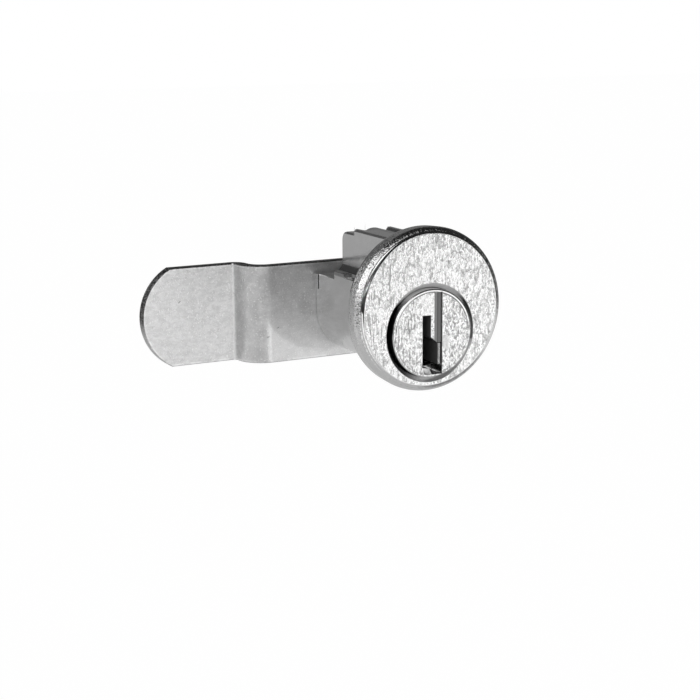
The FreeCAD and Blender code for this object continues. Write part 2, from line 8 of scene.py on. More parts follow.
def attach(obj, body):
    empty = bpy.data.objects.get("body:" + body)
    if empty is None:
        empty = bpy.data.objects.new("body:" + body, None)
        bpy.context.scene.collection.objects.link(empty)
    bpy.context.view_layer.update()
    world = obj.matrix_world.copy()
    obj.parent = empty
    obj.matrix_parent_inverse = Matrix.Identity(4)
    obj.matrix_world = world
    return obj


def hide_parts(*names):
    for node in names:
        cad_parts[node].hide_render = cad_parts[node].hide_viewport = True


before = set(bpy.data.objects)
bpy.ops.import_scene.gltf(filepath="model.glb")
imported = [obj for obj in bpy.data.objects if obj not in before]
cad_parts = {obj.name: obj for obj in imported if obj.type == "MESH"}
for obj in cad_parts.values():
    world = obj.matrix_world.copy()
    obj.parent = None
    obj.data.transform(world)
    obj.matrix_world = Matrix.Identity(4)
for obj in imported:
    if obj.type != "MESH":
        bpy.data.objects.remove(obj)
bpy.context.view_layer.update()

mm = 0.001


# Shader maths

class Wire:
    def __init__(self, shader, socket):
        self.shader = shader
        self.socket = socket

    def join(self, operation, *values):
        return self.shader.add("Math", dict(operation=operation), *values)

    def __add__(self, other):
        return self.join("ADD", self, other)

    __radd__ = __add__

    def __sub__(self, other):
        return self.join("SUBTRACT", self, other)

    def __rsub__(self, other):
        return self.join("SUBTRACT", other, self)

    def __mul__(self, other):
        return self.join("MULTIPLY", self, other)

    __rmul__ = __mul__

    def high(self, other):
        return self.join("MAXIMUM", self, other)

    def low(self, other):
        return self.join("MINIMUM", self, other)

    def size(self):
        return self.join("ABSOLUTE", self)

    def root(self):
        return self.join("SQRT", self)

    def step(self, start, end):
        # 0 before start, 1 past end, soft between them
        settings = dict(interpolation_type="SMOOTHSTEP", clamp=True)
        return self.shader.add("MapRange", settings, Value=self, **{"From Min": start, "From Max": end})


reliefDepth = 0.05  # millimetres from the lowest to the highest point of a finish's relief


class Shader:
    def __init__(self, name):
        self.material = bpy.data.materials.new(name)
        self.material.use_nodes = True
        self.tree = self.material.node_tree
        self.tree.nodes.clear()
        self.output = self.tree.nodes.new("ShaderNodeOutputMaterial")

    def add(self, kind, settings=None, *values, out=0, **named):
        node = self.tree.nodes.new("ShaderNode" + kind)
        for key, setting in (settings or {}).items():
            setattr(node, key, setting)
        for key, value in list(enumerate(values)) + list(named.items()):
            self.feed(node.inputs[key], value)
        return Wire(self, node.outputs[out])

    def feed(self, socket, value):
        if isinstance(value, Wire):
            self.tree.links.new(value.socket, socket)
        else:
            socket.default_value = value

    def place(self):
        return self.add("TexCoord", out="Object")

    def axes(self):
        # where the point is, in millimetres
        node = self.tree.nodes.new("ShaderNodeSeparateXYZ")
        self.feed(node.inputs[0], self.place())
        return [Wire(self, out) * 1000.0 for out in node.outputs]

    def grain(self, size, stretch=(1.0, 1.0, 1.0), detail=2.0, rough=0.5, bend=0.0, shift=0.0):
        # noise whose cells are about that many millimetres, drawn out along the axes
        scale = tuple(1.0 / (size * mm * s) for s in stretch)
        vector = self.add("Mapping", None, Vector=self.place(), Scale=scale, Location=(shift, shift, shift))
        return self.add("TexNoise", None, Vector=vector, Scale=1.0, Detail=detail, Roughness=rough,
                        Distortion=bend)

    def blend(self, mask, first, second):
        node = self.tree.nodes.new("ShaderNodeMix")
        node.data_type = "RGBA"
        for key, value in ((0, mask), (6, first), (7, second)):
            self.feed(node.inputs[key], value)
        return Wire(self, node.outputs[2])

    def surface(self, shader):
        self.tree.links.new(shader.socket, self.output.inputs["Surface"])
        return self.material

    def coat(self, colour, mask, tone, cover=1.0):
        # lays a grey of that tone over the colour where the mask is 1
        return self.blend(mask * cover, colour, grey(tone))

    def metal(self, colour, roughness, relief, bare=1.0):
        # bare is 0 where the metal is made dull: dust inside the keyway, and painted light on the tops of the
        # mouth and of the plug's flange and along the cam's fold
        bump = self.add("Bump", None, Height=relief, Strength=1.0, Distance=reliefDepth * mm)
        return self.surface(self.add("BsdfPrincipled", None, **{
            "Base Color": colour, "Roughness": roughness, "Metallic": bare, "Normal": bump}))


def grey(level, warmth=0.0):
    return (level * (1 + warmth), level, level * (1 - warmth), 1.0)


print("shader tools ready")


# Camera at the photograph's angle

camera = dict(lens=79.49, sensor=36.0, target=(-12.74, -3.0, -1.15), distance=212.0,
              yaw=27.05, pitch=12.27, roll=-0.34, nearest=0.01, farthest=10.0)


def makeCamera():
    yaw, pitch, roll = (math.radians(camera[k]) for k in ("yaw", "pitch", "roll"))
    forward = Vector((math.sin(yaw) * math.cos(pitch), math.cos(yaw) * math.cos(pitch), -math.sin(pitch)))
    right = Vector((math.cos(yaw), -math.sin(yaw), 0.0))
    up = right.cross(forward)
    across = right * math.cos(roll) + up * math.sin(roll)
    upward = up * math.cos(roll) - right * math.sin(roll)
    data = bpy.data.cameras.new("photoCamera")
    data.lens = camera["lens"]
    data.sensor_width = camera["sensor"]
    data.clip_start = camera["nearest"]
    data.clip_end = camera["farthest"]
    eye = bpy.data.objects.new("photoCamera", data)
    spot = (Vector(camera["target"]) - forward * camera["distance"]) * mm
    turn = Matrix((across, upward, -forward)).transposed().to_4x4()
    eye.matrix_world = Matrix.Translation(spot) @ turn
    bpy.context.scene.collection.objects.link(eye)
    bpy.context.scene.camera = eye


makeCamera()
print("camera placed")


# Studio: white paper below and all round, with dark and pale cards that the polished metal mirrors

studio = dict(floorDrop=0.11, floorSize=6.0, floorPaper=0.85, floorSeen=0.82, floorGlow=1.1,
              floorMirrored=0.6, worldLight=0.6, cardStep=6)


def link(thing):
    bpy.context.scene.collection.objects.link(thing)
    return thing


def makeFloor():
    shader = Shader("paleFloor")
    path = shader.tree.nodes.new("ShaderNodeLightPath")
    seen, glossy, passing = (Wire(shader, path.outputs[f"Is {ray} Ray"])
                             for ray in ("Camera", "Glossy", "Transmission"))
    paper = shader.add("BsdfDiffuse", None, Color=grey(studio["floorPaper"]))
    glow = shader.add("Emission", None, Color=grey(1.0), Strength=studio["floorGlow"])
    table = shader.add("Emission", None, Color=grey(1.0), Strength=studio["floorMirrored"])
    paper = shader.add("MixShader", None, seen * studio["floorSeen"], paper, glow)
    shader.surface(shader.add("MixShader", None, glossy.high(passing), paper, table))
    half, low = studio["floorSize"] / 2, -studio["floorDrop"]
    mesh = bpy.data.meshes.new("floor")
    mesh.from_pydata([(-half, -half, low), (half, -half, low), (half, half, low), (-half, half, low)], [],
                     [(0, 1, 2, 3)])
    mesh.materials.append(shader.material)
    link(bpy.data.objects.new("floor", mesh))


def makeWorld():
    world = bpy.data.worlds.new("studioWorld")
    bpy.context.scene.world = world
    world.use_nodes = True
    tree = world.node_tree
    tree.nodes.clear()
    path = tree.nodes.new("ShaderNodeLightPath")
    seen = None
    for ray in ("Is Camera Ray", "Is Glossy Ray", "Is Transmission Ray"):
        either = tree.nodes.new("ShaderNodeMath")
        either.operation = "MAXIMUM"
        either.inputs[1].default_value = 0.0
        tree.links.new(path.outputs[ray], either.inputs[0])
        if seen:
            tree.links.new(seen, either.inputs[1])
        seen = either.outputs[0]
    strength = tree.nodes.new("ShaderNodeMapRange")
    strength.inputs["To Min"].default_value = studio["worldLight"]
    strength.inputs["To Max"].default_value = 1.0
    tree.links.new(seen, strength.inputs["Value"])
    sky = tree.nodes.new("ShaderNodeBackground")
    sky.inputs["Color"].default_value = (1, 1, 1, 1)
    tree.links.new(strength.outputs[0], sky.inputs["Strength"])
    output = tree.nodes.new("ShaderNodeOutputWorld")
    tree.links.new(sky.outputs[0], output.inputs["Surface"])


# Curved cards round the lock, which only its polish mirrors. Turn runs from straight in front towards the
# right, rise from level upwards, both in degrees; away is the card's distance in metres.
cards = dict(
    ceiling=dict(turn=(-180, 180), rise=(9, 90), away=0.95, tone=0.02),
    leftWindow=dict(turn=(-147, 8), rise=(9.5, 48), away=0.9, tone=1.8),
    leftBlind=dict(turn=(-150, -12), rise=(48, 66), away=0.88, tone=0.22),
    behindUpper=dict(turn=(-180, -147), rise=(-4, 60), away=0.85, tone=0.1),
    leftShade=dict(turn=(-96, -45), rise=(11, 22), away=0.8, tone=0.45),
    skirting=dict(turn=(-150, 26), rise=(-6.5, 9.5), away=0.7, tone=0.15),
    rightDoor=dict(turn=(8, 90), rise=(0, 12), away=0.6, tone=0.03),
    rightWall=dict(turn=(46, 92), rise=(-12, 1), away=0.6, tone=0.08),
    rightWindow=dict(turn=(92, 136), rise=(-14, 28), away=0.42, tone=0.07),
    behindRight=dict(turn=(124, 176), rise=(-3, 34), away=0.8, tone=0.2),
    behindLeft=dict(turn=(-172, -144), rise=(-25, 4), away=0.25, tone=0.45),
    leftGlow=dict(turn=(-143, -72), rise=(-25, -8), away=0.25, tone=0.85),
    frontSoftbox=dict(turn=(25.2, 46), rise=(-27, 1), away=0.28, tone=1.07),
    frontFill=dict(turn=(5, 19), rise=(-22, -8), away=0.3, tone=1.4),
    frontPost=dict(turn=(0, 25), rise=(-6.3, 5), away=0.3, tone=0.02),
    frontRail=dict(turn=(-28, 4), rise=(-9, -1.5), away=0.32, tone=0.03),
    rightLow=dict(turn=(60, 140), rise=(-34, -14), away=0.18, tone=0.95),
    frontLow=dict(turn=(34, 84), rise=(-60, -27), away=0.12, tone=0.28),
)


def cardLines(first, last):
    # the angles of a card's lines, in radians
    count = max(2, math.ceil((last - first) / studio["cardStep"]))
    return [math.radians(first + (last - first) * n / count) for n in range(count + 1)]


def makeCards():
    for name, spec in cards.items():
        shader = Shader(name + "Tone")
        shader.surface(shader.add("Emission", None, Color=grey(spec["tone"]), Strength=1.0))
        work = bmesh.new()
        rows = []
        for rise in cardLines(*spec["rise"]):
            level = math.cos(rise)
            ways = [Vector((math.sin(turn) * level, -math.cos(turn) * level, math.sin(rise)))
                    for turn in cardLines(*spec["turn"])]
            rows.append([work.verts.new(way * spec["away"]) for way in ways])
        for low, high in zip(rows, rows[1:]):
            for n in range(len(low) - 1):
                work.faces.new((low[n], high[n], high[n + 1], low[n + 1]))
        mesh = bpy.data.meshes.new(name)
        work.to_mesh(mesh)
        work.free()
        mesh.materials.append(shader.material)
        thing = link(bpy.data.objects.new(name + "Card", mesh))
        thing.visible_camera = False
        thing.visible_diffuse = False
        thing.visible_shadow = False


lamps = dict(
    left=dict(place=(-0.5, -0.3, 0.3), size=0.35, power=0.1),
    key=dict(place=(0.103, -0.486, -0.0566), size=0.02, power=0.095),
)


def makeLamps():
    for name, lamp in lamps.items():
        data = bpy.data.lights.new(name + "Lamp", "AREA")
        data.shape = "SQUARE"
        data.size = lamp["size"]
        data.energy = lamp["power"]
        data.cycles.use_multiple_importance_sampling = False  # the cards stand in its way
        thing = link(bpy.data.objects.new(name + "Lamp", data))
        thing.location = lamp["place"]
        thing.rotation_euler = (-Vector(lamp["place"])).to_track_quat("-Z", "Y").to_euler()


makeFloor()
makeWorld()
makeCards()
makeLamps()
print("studio built")


# Solids, in millimetres until they are finished

past = 1.0  # how far a cutter reaches past what it cuts


def newSolid(name, work):
    bmesh.ops.recalc_face_normals(work, faces=work.faces)
    mesh = bpy.data.meshes.new(name)
    work.to_mesh(mesh)
    work.free()
    return link(bpy.data.objects.new(name, mesh))


def prism(outline, start, end, along="Y"):
    # outline is a list of (x, z) for a prism along Y, (x, y) along Z, (y, z) along X
    put = dict(Y=lambda u, v, w: (u, w, v), Z=lambda u, v, w: (u, v, w), X=lambda u, v, w: (w, u, v))[along]
    work = bmesh.new()
    rings = [[work.verts.new(put(u, v, w)) for u, v in outline] for w in (start, end)]
    for ring in rings:
        work.faces.new(ring)
    for n in range(len(outline)):
        work.faces.new((rings[0][n - 1], rings[0][n], rings[1][n], rings[1][n - 1]))
    return newSolid("prism", work)


def turned(profile, steps, middle=(0.0, 0.0), along="Y"):
    # profile is a list of (place along the axis, radius); its two ends lie on the axis
    put = dict(Y=lambda w, x, z: (x + middle[0], w, z + middle[1]),
               Z=lambda w, x, y: (x + middle[0], y + middle[1], w))[along]
    work = bmesh.new()
    angles = [2 * math.pi * (n + 0.5) / steps for n in range(steps)]
    rings = [[work.verts.new(put(w, radius * math.cos(a), radius * math.sin(a))) for a in angles]
             for w, radius in profile[1:-1]]
    for near, far in zip(rings, rings[1:]):
        for n in range(steps):
            work.faces.new((near[n - 1], near[n], far[n], far[n - 1]))
    for ring in (rings[0], rings[-1]):
        work.faces.new(ring)
    return newSolid("turned", work)


def drum(radius, start, end, steps, middle=(0.0, 0.0), along="Y"):
    return turned([(start, 0), (start, radius), (end, radius), (end, 0)], steps, middle, along)


def ball(middle, radius):
    work = bmesh.new()
    bmesh.ops.create_uvsphere(work, u_segments=48, v_segments=24, radius=radius,
                              matrix=Matrix.Translation(middle))
    return newSolid("ball", work)


def arc(middle, radius, first, last, steps):
    turns = [math.radians(first + (last - first) * n / steps) for n in range(steps + 1)]
    return [(middle[0] + radius * math.cos(t), middle[1] + radius * math.sin(t)) for t in turns]


def box(left, right, low, high):
    return [(left, low), (right, low), (right, high), (left, high)]


def square(half):
    return box(-half, half, -half, half)


def turnedBy(outline, degrees):
    c, s = math.cos(math.radians(degrees)), math.sin(math.radians(degrees))
    return [(u * c - v * s, u * s + v * c) for u, v in outline]


def bake(thing):
    # modifiers become plain mesh
    bpy.context.view_layer.update()
    depsgraph = bpy.context.evaluated_depsgraph_get()
    mesh = bpy.data.meshes.new_from_object(thing.evaluated_get(depsgraph), preserve_all_data_layers=True,
                                           depsgraph=depsgraph)
    thing.modifiers.clear()
    thing.data = mesh


def combine(body, others, operation):
    for other in others:
        step = body.modifiers.new("step", "BOOLEAN")
        step.operation = operation
        step.solver = "EXACT"
        step.object = other
    bake(body)
    for other in others:
        bpy.data.objects.remove(other)


def clean(thing, together=0.002, flat=0.4):
    # joins corners that lie together, in millimetres, and faces that meet almost flat, in degrees
    work = bmesh.new()
    work.from_mesh(thing.data)
    bmesh.ops.remove_doubles(work, verts=work.verts, dist=together)
    bmesh.ops.dissolve_limit(work, angle_limit=math.radians(flat), verts=work.verts, edges=work.edges)
    bmesh.ops.recalc_face_normals(work, faces=work.faces)
    work.to_mesh(thing.data)
    work.free()


def weighEdges(thing, spec, sharp=30):
    # every edge of at least that many degrees gets the piece's own width, or that of the last box it lies in
    boxes = spec.get("edgesIn", [])
    widest = max([spec["edge"]] + [width for low, high, width in boxes])
    work = bmesh.new()
    work.from_mesh(thing.data)
    weight = work.edges.layers.float.new("bevel_weight_edge")
    for line in work.edges:
        if line.calc_face_angle(0.0) < math.radians(sharp):
            continue
        line[weight] = spec["edge"] / widest
        for low, high, width in boxes:
            if all(l <= c <= h for end in line.verts for l, c, h in zip(low, end.co, high)):
                line[weight] = width / widest
    work.to_mesh(thing.data)
    work.free()
    return widest


def finish(thing, spec, node, extra=None):
    # breaks the edges, evens the shading and puts the piece in the frame
    clean(thing)
    thing.name = spec["name"]
    thing.data.shade_smooth()
    bevel = thing.modifiers.new("edges", "BEVEL")
    bevel.width = weighEdges(thing, spec)
    bevel.segments = spec.get("segments", 3)
    bevel.limit_method = "WEIGHT"
    bevel.use_clamp_overlap = False
    even = thing.modifiers.new("even", "WEIGHTED_NORMAL")
    even.weight = 50
    even.keep_sharp = True
    bake(thing)
    if extra:
        work = bmesh.new()
        work.from_mesh(thing.data)
        work.from_mesh(extra.data)
        bmesh.ops.recalc_face_normals(work, faces=work.faces)
        work.to_mesh(thing.data)
        work.free()
        bpy.data.objects.remove(extra)
    thing.data.name = spec["name"]
    thing.data.transform(Matrix.Scale(mm, 4))
    thing.data.materials.clear()
    thing.data.materials.append(finishes[spec["finish"]])
    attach(thing, spec["body"])
    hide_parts(node)
    print(spec["name"], "faces", len(thing.data.polygons))


# Housing

housing = dict(
    name="lockHousing", body="housing", slot="housing_nickel", finish="casting", edge=0.09,
    # other widths at the barrel's end, round the mouth and on the ledges' steps
    edgesIn=[((-9, 20.0, -9), (9, 20.2, 9), 0.02), ((-7.1, -3.1, -7.1), (7.1, -3.0, 7.1), 0.06),
             ((-7, -0.4, 6.2), (7, 11.0, 7.2), 0.03)],
    headRadius=11.8, headBackRadius=11.6, headThick=3.0, headRise=3.25, rimRound=1.05, headSteps=256,
    intoHead=-0.3, barrel=6.6, barrelEnd=20.1, deck=5.7, towerHalf=5.2, towerEnd=14.1, towerTop=12.5,
    towerRound=1.4, tailTop=12.77, tailFoot=10.8, tailStart=9.8, rimSteps=14, underSteps=80, deckSteps=30,
    flareSteps=10, edgeSteps=6,
    ledge=6.9, stepTop=6.25, stepInner=5.9, stepEnd=10.9, flare=1.3,
    landTop=13.15, landEnd=10.3, lipTop=13.45, lipInner=4.7, lipFoot=3.4, lipRound=0.42, towerEdge=0.35,
    railInner=1.7, railOuter=2.3, railTop=13.05, railEnd=13.4, railSlope=0.5,
    cutFront=-4.0, cutBack=21.0, bore=5.25, boreSteps=160, seat=6.4, seatFloor=0.5, seatSteps=192,
    mouth=0.65, mouthDeeper=0.4, pinBore=1.05, pinSteps=40, firstPin=2.0, pinPitch=2.55, pins=5, pinFloor=0.5,
    slotHalf=1.42, slotFoot=11.7, slotStart=0.58, slotEnd=16, slotHigh=15.5,
    crownHalf=1.4, crownRise=0.4, crownSunk=0.01,
    stopSeat=5.6, stopFloor=19.25, windowFoot=3.37, windowSide=5.53, windowReach=14,
)


roundSteps = 12


def crownOutline(half, foot, rise):
    radius = (half * half + rise * rise) / (2 * rise)
    lean = math.degrees(math.asin(half / radius))
    return arc((0, foot + rise - radius), radius, 90 - lean, 90 + lean, roundSteps)


def pinBores(low, high):
    # the same five places serve the plug's bores
    return [drum(housing["pinBore"], low, high, housing["pinSteps"],
                 (0, housing["firstPin"] + housing["pinPitch"] * n), "Z") for n in range(housing["pins"])]


def backCutter(end, top, radius, half):
    # takes the corner between the tower's top and its back down to a rounding
    far, high = end + 2 * past, housing["towerTop"] + 2 * past
    outline = [(far, top - radius)] + arc((end - radius, top - radius), radius, 0, 90, roundSteps)
    outline += [(end - radius, high), (far, high)]
    return prism(outline, -half - past, half + past, "X")


def buildHousing():
    h = housing
    narrowing = (h["headRadius"] - h["headBackRadius"]) / h["headThick"]
    lean = math.atan(narrowing)
    rimMiddle, steps = h["rimRound"] - h["headThick"], h["rimSteps"]
    rimRadius = h["headBackRadius"] - narrowing * rimMiddle - h["rimRound"] / math.cos(lean)
    turns = [(math.pi / 2 - lean) * n / steps for n in range(steps + 1)]
    rim = [(rimMiddle - h["rimRound"] * math.cos(t), rimRadius + h["rimRound"] * math.sin(t)) for t in turns]
    head = turned([(-h["headThick"], 0)] + rim + [(0.0, h["headBackRadius"]), (0.0, 0)], h["headSteps"],
                  (0, h["headRise"]))

    b, t, f, start = h["barrel"], h["towerHalf"], h["flare"], h["intoHead"]
    edge, edgeSteps = h["towerEdge"], h["edgeSteps"]
    under = arc((0, 0), b, 180, 360, h["underSteps"])
    side = [(b, h["ledge"]), (t + f, h["ledge"])]
    side += arc((t + f, h["ledge"] + f), f, 270, 180, h["flareSteps"])[1:]
    side += arc((t - edge, h["towerTop"] - edge), edge, 0, 90, edgeSteps)
    tower = prism(under + side + [(-x, z) for x, z in reversed(side)], start, h["towerEnd"])
    rise = math.degrees(math.asin(h["deck"] / b))
    bulge = arc((0, 0), b, rise, 180 - rise, h["deckSteps"])
    deck = prism(under + [(b, h["deck"])] + bulge + [(-b, h["deck"])], start, h["barrelEnd"])
    cutters = [backCutter(h["towerEnd"], h["towerTop"], h["towerRound"], t)]
    for sign in (-1, 1):
        span = sorted((sign * h["stepInner"], sign * (b + past)))
        cutters.append(prism(box(*span, h["stepTop"], h["ledge"] + f), 0.0, h["stepEnd"]))
    combine(tower, cutters, "DIFFERENCE")

    foot, inner, lip = h["slotFoot"], -h["slotHalf"], h["lipRound"]
    land = prism([(-t, foot), (inner, foot), (inner, h["landTop"]), (-h["lipFoot"], h["landTop"]),
                  (-h["lipInner"], h["lipTop"])] + arc((lip - t, h["lipTop"] - lip), lip, 90, 180, edgeSteps),
                 start, h["landEnd"])
    tail = prism([(-t, h["tailFoot"]), (inner, h["tailFoot"]), (inner, h["tailTop"])]
                 + arc((edge - t, h["tailTop"] - edge), edge, 90, 180, edgeSteps),
                 h["tailStart"], h["towerEnd"])
    combine(tail, [backCutter(h["towerEnd"], h["tailTop"], h["towerRound"], t)], "DIFFERENCE")
    end, high, cut = h["railEnd"], h["railTop"], h["railSlope"]
    rail = prism([(start, foot), (end, foot), (end, high - cut), (end - cut, high), (start, high)],
                 h["railInner"], h["railOuter"], "X")
    crown = prism(crownOutline(h["crownHalf"], h["towerTop"] - h["crownSunk"], h["crownRise"]), start,
                  h["slotStart"])
    combine(head, [tower, deck, land, tail, rail, crown], "UNION")

    holes = [drum(h["bore"], h["cutFront"], h["cutBack"], h["boreSteps"]),
             drum(h["seat"], h["cutFront"], -h["seatFloor"], h["seatSteps"])]
    face, wide = -h["headThick"], h["seat"] + h["mouth"]
    floor = face + h["mouth"] + h["mouthDeeper"]
    holes.append(turned([(face - past, 0), (face - past, wide + past), (floor, h["seat"] - h["mouthDeeper"]),
                         (floor, 0)], h["seatSteps"]))
    holes += pinBores(h["pinFloor"], h["towerTop"] + past)
    slot = box(-h["slotHalf"], h["slotHalf"], h["slotFoot"], h["slotHigh"])
    holes.append(prism(slot, h["slotStart"], h["slotEnd"]))
    holes.append(drum(h["stopSeat"], h["stopFloor"], h["cutBack"], h["boreSteps"]))
    foot, stop, far = h["windowFoot"], h["windowSide"], h["windowReach"]
    holes.append(prism([(-far, foot), (0, foot), (0, 0), (stop, 0), (stop, far), (-far, far)],
                       h["stopFloor"], h["cutBack"]))
    combine(head, holes, "DIFFERENCE")
    finish(head, h, "lock_housing")


# Strip over the pin chambers

cover = dict(name="chamberCover", body="housing", slot="cover_nickel", finish="strip", edge=0.05,
             half=1.4, foot=11.7, top=12.5, rise=0.4, start=0.6, end=14.1)


def buildCover():
    c = cover
    outline = [(-c["half"], c["foot"]), (c["half"], c["foot"])] + crownOutline(c["half"], c["top"], c["rise"])
    finish(prism(outline, c["start"], c["end"]), c, "chamber_cover")


# Plug

plug = dict(
    name="keyPlug", body="plug", slot="plug_nickel", finish="plug", edge=0.05,
    front=-3.5, faceRadius=6.35, faceBevel=0.16, flangeBack=-0.55, radius=5.2, back=19.65, steps=192,
    tailHalf=3.0, tailEnd=21.65, screwHole=2.03, screwHoleEnd=15.12, screwHoleSteps=64,
    keyLeft=-1.55, keyNeck=-0.22, keyTop=2.6, jogTop=-0.55, jogFoot=-1.45, belly=0.9, ward=1.3, wardFoot=-4.5,
    keyRight=1.62, keyFloor=-5.9, keyEnd=13.6, floorLeft=-0.05, slantFoot=(-0.35, -5.1), slantTop=-4.8,
    scoop=(-0.72, -4.9, -5.2), scoopRadius=1.6, grooveLeft=0.36, grooveDepth=0.25, grooveTop=5.78,
    pinFloor=1.0,
)


def buildPlug():
    p = plug
    front, face, bevel = p["front"], p["faceRadius"], p["faceBevel"]
    body = turned([(front, 0), (front, face - bevel), (front + bevel, face), (p["flangeBack"], face),
                   (p["flangeBack"], p["radius"]), (p["back"], p["radius"]), (p["back"], 0)], p["steps"])
    tail = prism(square(p["tailHalf"]), p["back"] - past, p["tailEnd"])
    combine(body, [tail], "UNION")
    keyway = [(p["keyLeft"], p["keyTop"]), (p["keyNeck"], p["keyTop"]), (p["keyNeck"], p["jogTop"]),
              (p["belly"], p["jogFoot"]), (p["belly"], p["wardFoot"]), (p["ward"], p["wardFoot"]),
              (p["ward"], p["jogFoot"]), (p["keyRight"], p["jogFoot"]), (p["keyRight"], p["keyFloor"]),
              (p["floorLeft"], p["keyFloor"]), p["slantFoot"], (p["keyLeft"], p["slantTop"])]
    holes = [prism(keyway, front - past, p["keyEnd"]), ball(p["scoop"], p["scoopRadius"]),
             prism(box(p["grooveLeft"], p["keyRight"], p["jogFoot"], p["grooveTop"]), front - past,
                   front + p["grooveDepth"]),
             drum(p["screwHole"], p["screwHoleEnd"], p["tailEnd"] + past, p["screwHoleSteps"])]
    combine(body, holes + pinBores(p["pinFloor"], p["radius"] + past), "DIFFERENCE")
    finish(body, p, "key_plug")


# Cam

camArm = dict(
    name="camArm", body="plug", slot="cam_steel", finish="sheet", edge=0.13, segments=4,
    half=7.4, thick=1.6, front=20.15, crank=4.6, near=17.5, far=18.05, tipCentre=24.3, tipRadius=8.4,
    soft=2.4, tight=0.5, bendSteps=14, outlineSteps=64, holeHalf=3.05,
    blankTip=-34.5, blankEnd=9.0, blankHalf=9,
)


def roundedPath(corners, steps):
    # corners are (point, radius); a radius of 0 keeps the corner
    path = []
    for n, (point, radius) in enumerate(corners):
        here = Vector(point)
        if radius == 0:
            path.append(tuple(here))
            continue
        before = (Vector(corners[n - 1][0]) - here).normalized()
        after = (Vector(corners[(n + 1) % len(corners)][0]) - here).normalized()
        half = before.angle(after) / 2
        middle = here + (before + after).normalized() * radius / math.sin(half)
        start = here + before * radius / math.tan(half) - middle
        end = here + after * radius / math.tan(half) - middle
        path += [tuple(middle + start.slerp(end, k / steps).normalized() * radius) for k in range(steps + 1)]
    return path


def buildCam():
    c = camArm
    front, back = c["front"], c["front"] + c["thick"]
    tipFront, tipBack = front + c["crank"], back + c["crank"]
    end, tip, thick = c["blankEnd"], c["blankTip"], c["thick"]
    section = roundedPath([
        ((end, front), 0), ((-c["near"], front), c["soft"] + thick), ((-c["far"], tipFront), c["tight"]),
        ((tip, tipFront), 0), ((tip, tipBack), 0), ((thick - c["far"], tipBack), c["tight"] + thick),
        ((thick - c["near"], back), c["soft"]), ((end, back), 0)], c["bendSteps"])
    strip = prism(section, -c["blankHalf"], c["blankHalf"], "Z")
    corner = math.degrees(math.asin(c["half"] / c["tipRadius"]))
    outline = arc((0, 0), c["half"], -90, 90, c["outlineSteps"])
    outline += arc((-c["tipCentre"], 0), c["tipRadius"], 180 - corner, 180 + corner, c["outlineSteps"])
    combine(strip, [prism(outline, front - past, tipBack + past)], "INTERSECT")
    combine(strip, [prism(square(c["holeHalf"]), front - past, back + past)], "DIFFERENCE")
    finish(strip, c, "cam")


# Stop washer

stopWasher = dict(name="stopWasher", body="plug", slot="washer_steel", finish="steel", edge=0.09,
                  radius=5.5, steps=128, front=19.65, back=20.15, lugFoot=3.4, lugTop=5.5, lugReach=6.6,
                  holeHalf=3.05)


def buildStopWasher():
    s = stopWasher
    disc = drum(s["radius"], s["front"], s["back"], s["steps"])
    lug = prism(box(-s["lugReach"], 0, s["lugFoot"], s["lugTop"]), s["front"], s["back"])
    combine(disc, [lug], "UNION")
    combine(disc, [prism(square(s["holeHalf"]), s["front"] - past, s["back"] + past)], "DIFFERENCE")
    finish(disc, s, "stop_washer")


# Screw

camScrew = dict(name="camScrew", body="plug", slot="screw_steel", finish="steel", edge=0.05,
                point=15.15, pointTaper=0.5, under=22.35, top=24.55, steps=128,
                headRadius=3.5, headRound=1.6, headSide=0.75, headFoot=0.08, headSteps=14,
                recessHalf=2.2, recessArm=0.53, recessDepth=1.4, recessFoot=0.35, recessFootArm=0.3975,
                recessOver=0.3,
                core=1.66, pitch=0.7, ridge=0.26, ridgeSides=4, ridgeLift=0.06, threadStart=0.55,
                threadLength=6.3, turnSteps=28)


def buildScrew():
    s = camScrew
    rise = s["top"] - s["under"] - s["headSide"]
    crown = [(s["under"], s["headRadius"] - s["headFoot"]), (s["under"] + s["headFoot"], s["headRadius"])]
    for n in range(s["headSteps"] + 1):
        t = math.pi / 2 * n / s["headSteps"]
        crown.append((s["under"] + s["headSide"] + rise * math.sin(t),
                      s["headRadius"] - s["headRound"] * (1 - math.cos(t))))
    body = turned([(s["point"], 0), (s["point"], s["core"] - s["pointTaper"]),
                   (s["point"] + s["pointTaper"], s["core"]), (s["under"], s["core"])]
                  + crown + [(s["top"], 0)], s["steps"])
    cutters = []
    for turn in (0, 90):
        # a cross recess that narrows downwards
        work = bmesh.new()
        rings = []
        for y, half, arm in ((s["top"] + s["recessOver"], s["recessHalf"], s["recessArm"]),
                             (s["top"] - s["recessDepth"], s["recessFoot"], s["recessFootArm"])):
            rings.append([work.verts.new((x, y, z)) for x, z in turnedBy(box(-half, half, -arm, arm), turn)])
        for ring in rings:
            work.faces.new(ring)
        for n in range(4):
            work.faces.new((rings[0][n - 1], rings[0][n], rings[1][n], rings[1][n - 1]))
        cutters.append(newSolid("recess", work))
    combine(body, cutters, "DIFFERENCE")
    finish(body, s, "cam_screw", growThread(s))


# Finishes. An area lists its limits: a measure, the millimetre where the area is still clear and the one from
# which it is full. A fourth number makes it the distance from there, to both sides.

def area(places, limits):
    whole = None
    for place, clear, full, *middle in limits:
        measure = (places[place] - middle[0]).size() if middle else places[place]
        mask = measure.step(clear, full) if clear < full else 1.0 - measure.step(full, clear)
        whole = whole * mask if whole else mask
    return whole


def ring(u, v):
    return (u * u + v * v).root()


def spot(x, z, middle, fade, squash=1.0):
    return 1.0 - ring(x - middle[0], (z - middle[1]) * squash).step(*fade)


def mottle(shader, level, light=0.06):
    cloud = shader.grain(1.9, detail=4.0, rough=0.6)
    speck = shader.grain(0.16, detail=2.0, rough=0.6, shift=3.0)
    tone = cloud.step(0.3, 0.72) * 0.6 + speck.step(0.35, 0.68) * 0.4
    return cloud, speck, shader.blend(tone, grey(level - light), grey(level))


